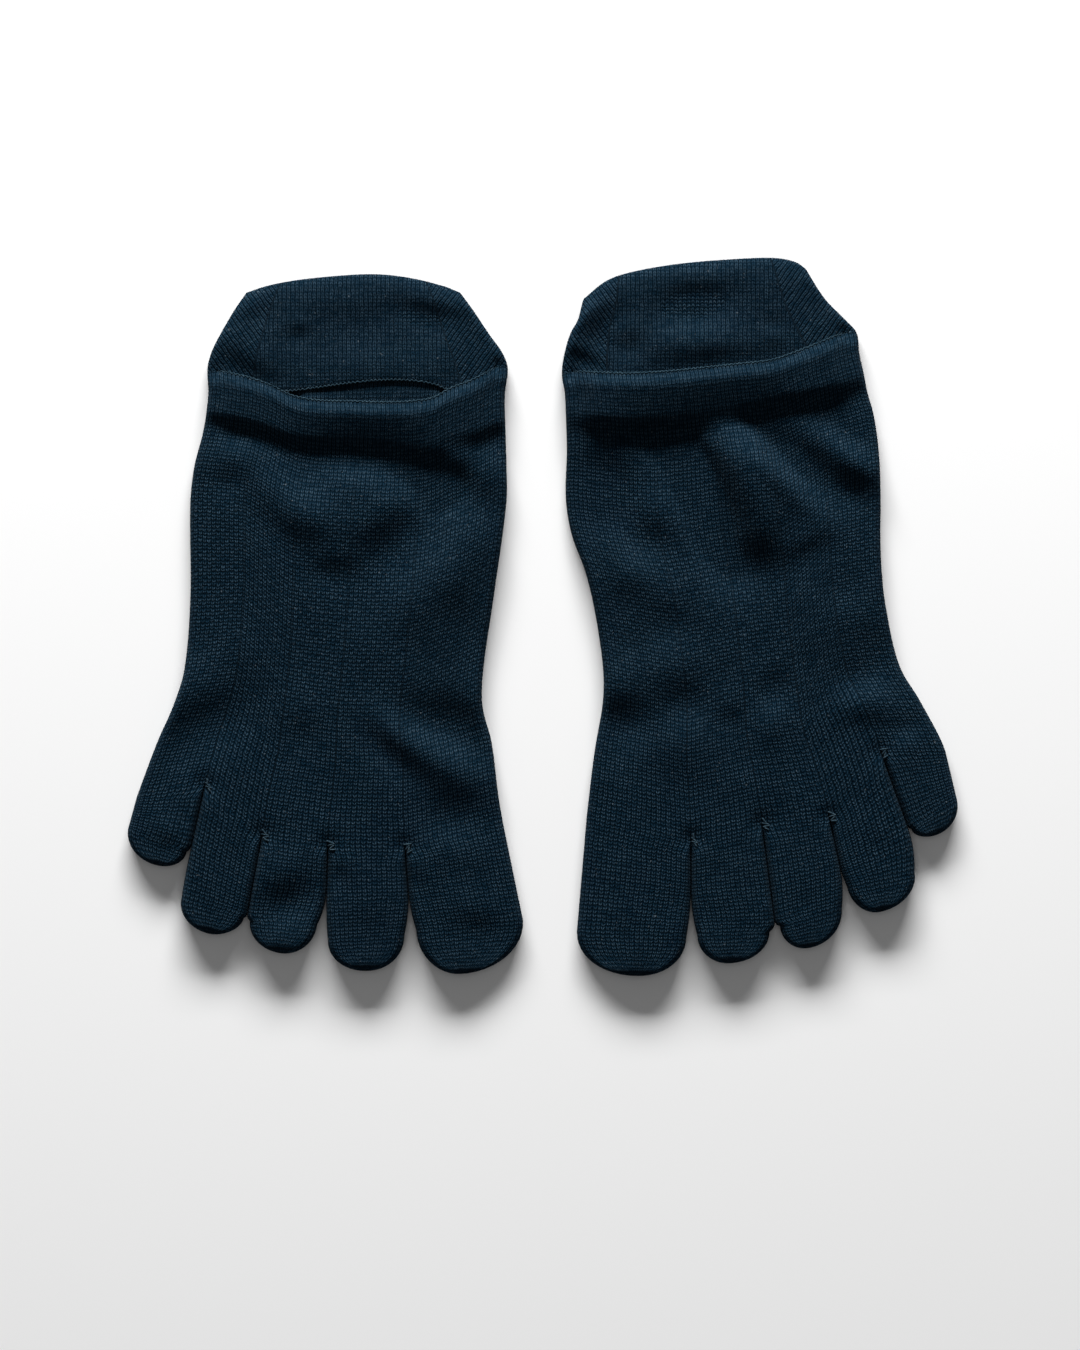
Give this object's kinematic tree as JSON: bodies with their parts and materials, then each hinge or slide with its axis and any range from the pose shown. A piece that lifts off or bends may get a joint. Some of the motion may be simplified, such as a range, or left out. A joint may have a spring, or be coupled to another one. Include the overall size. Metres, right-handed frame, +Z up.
{
  "type": "pair of five-toe grip socks",
  "caption": "Pair of low-cut toe socks laid flat side by side, soles down: plain dark knit with separate toes, a heel flap folded forward and a welt over it.",
  "frame": {"origin": "centre of the pair's outline, on the surface that the soles rest on", "axes": "+X to the right across the pair, +Y towards the heels with the toes at -Y, +Z up out of the surface"},
  "size_m": [0.2488, 0.2156, 0.0074],
  "materials": {
    "knit": "matt dark blue plain knit, slightly fuzzy"
  },
  "bodies": {
    "root": {"left_sock": "knit", "right_sock": "knit"}
  },
  "joints": []
}
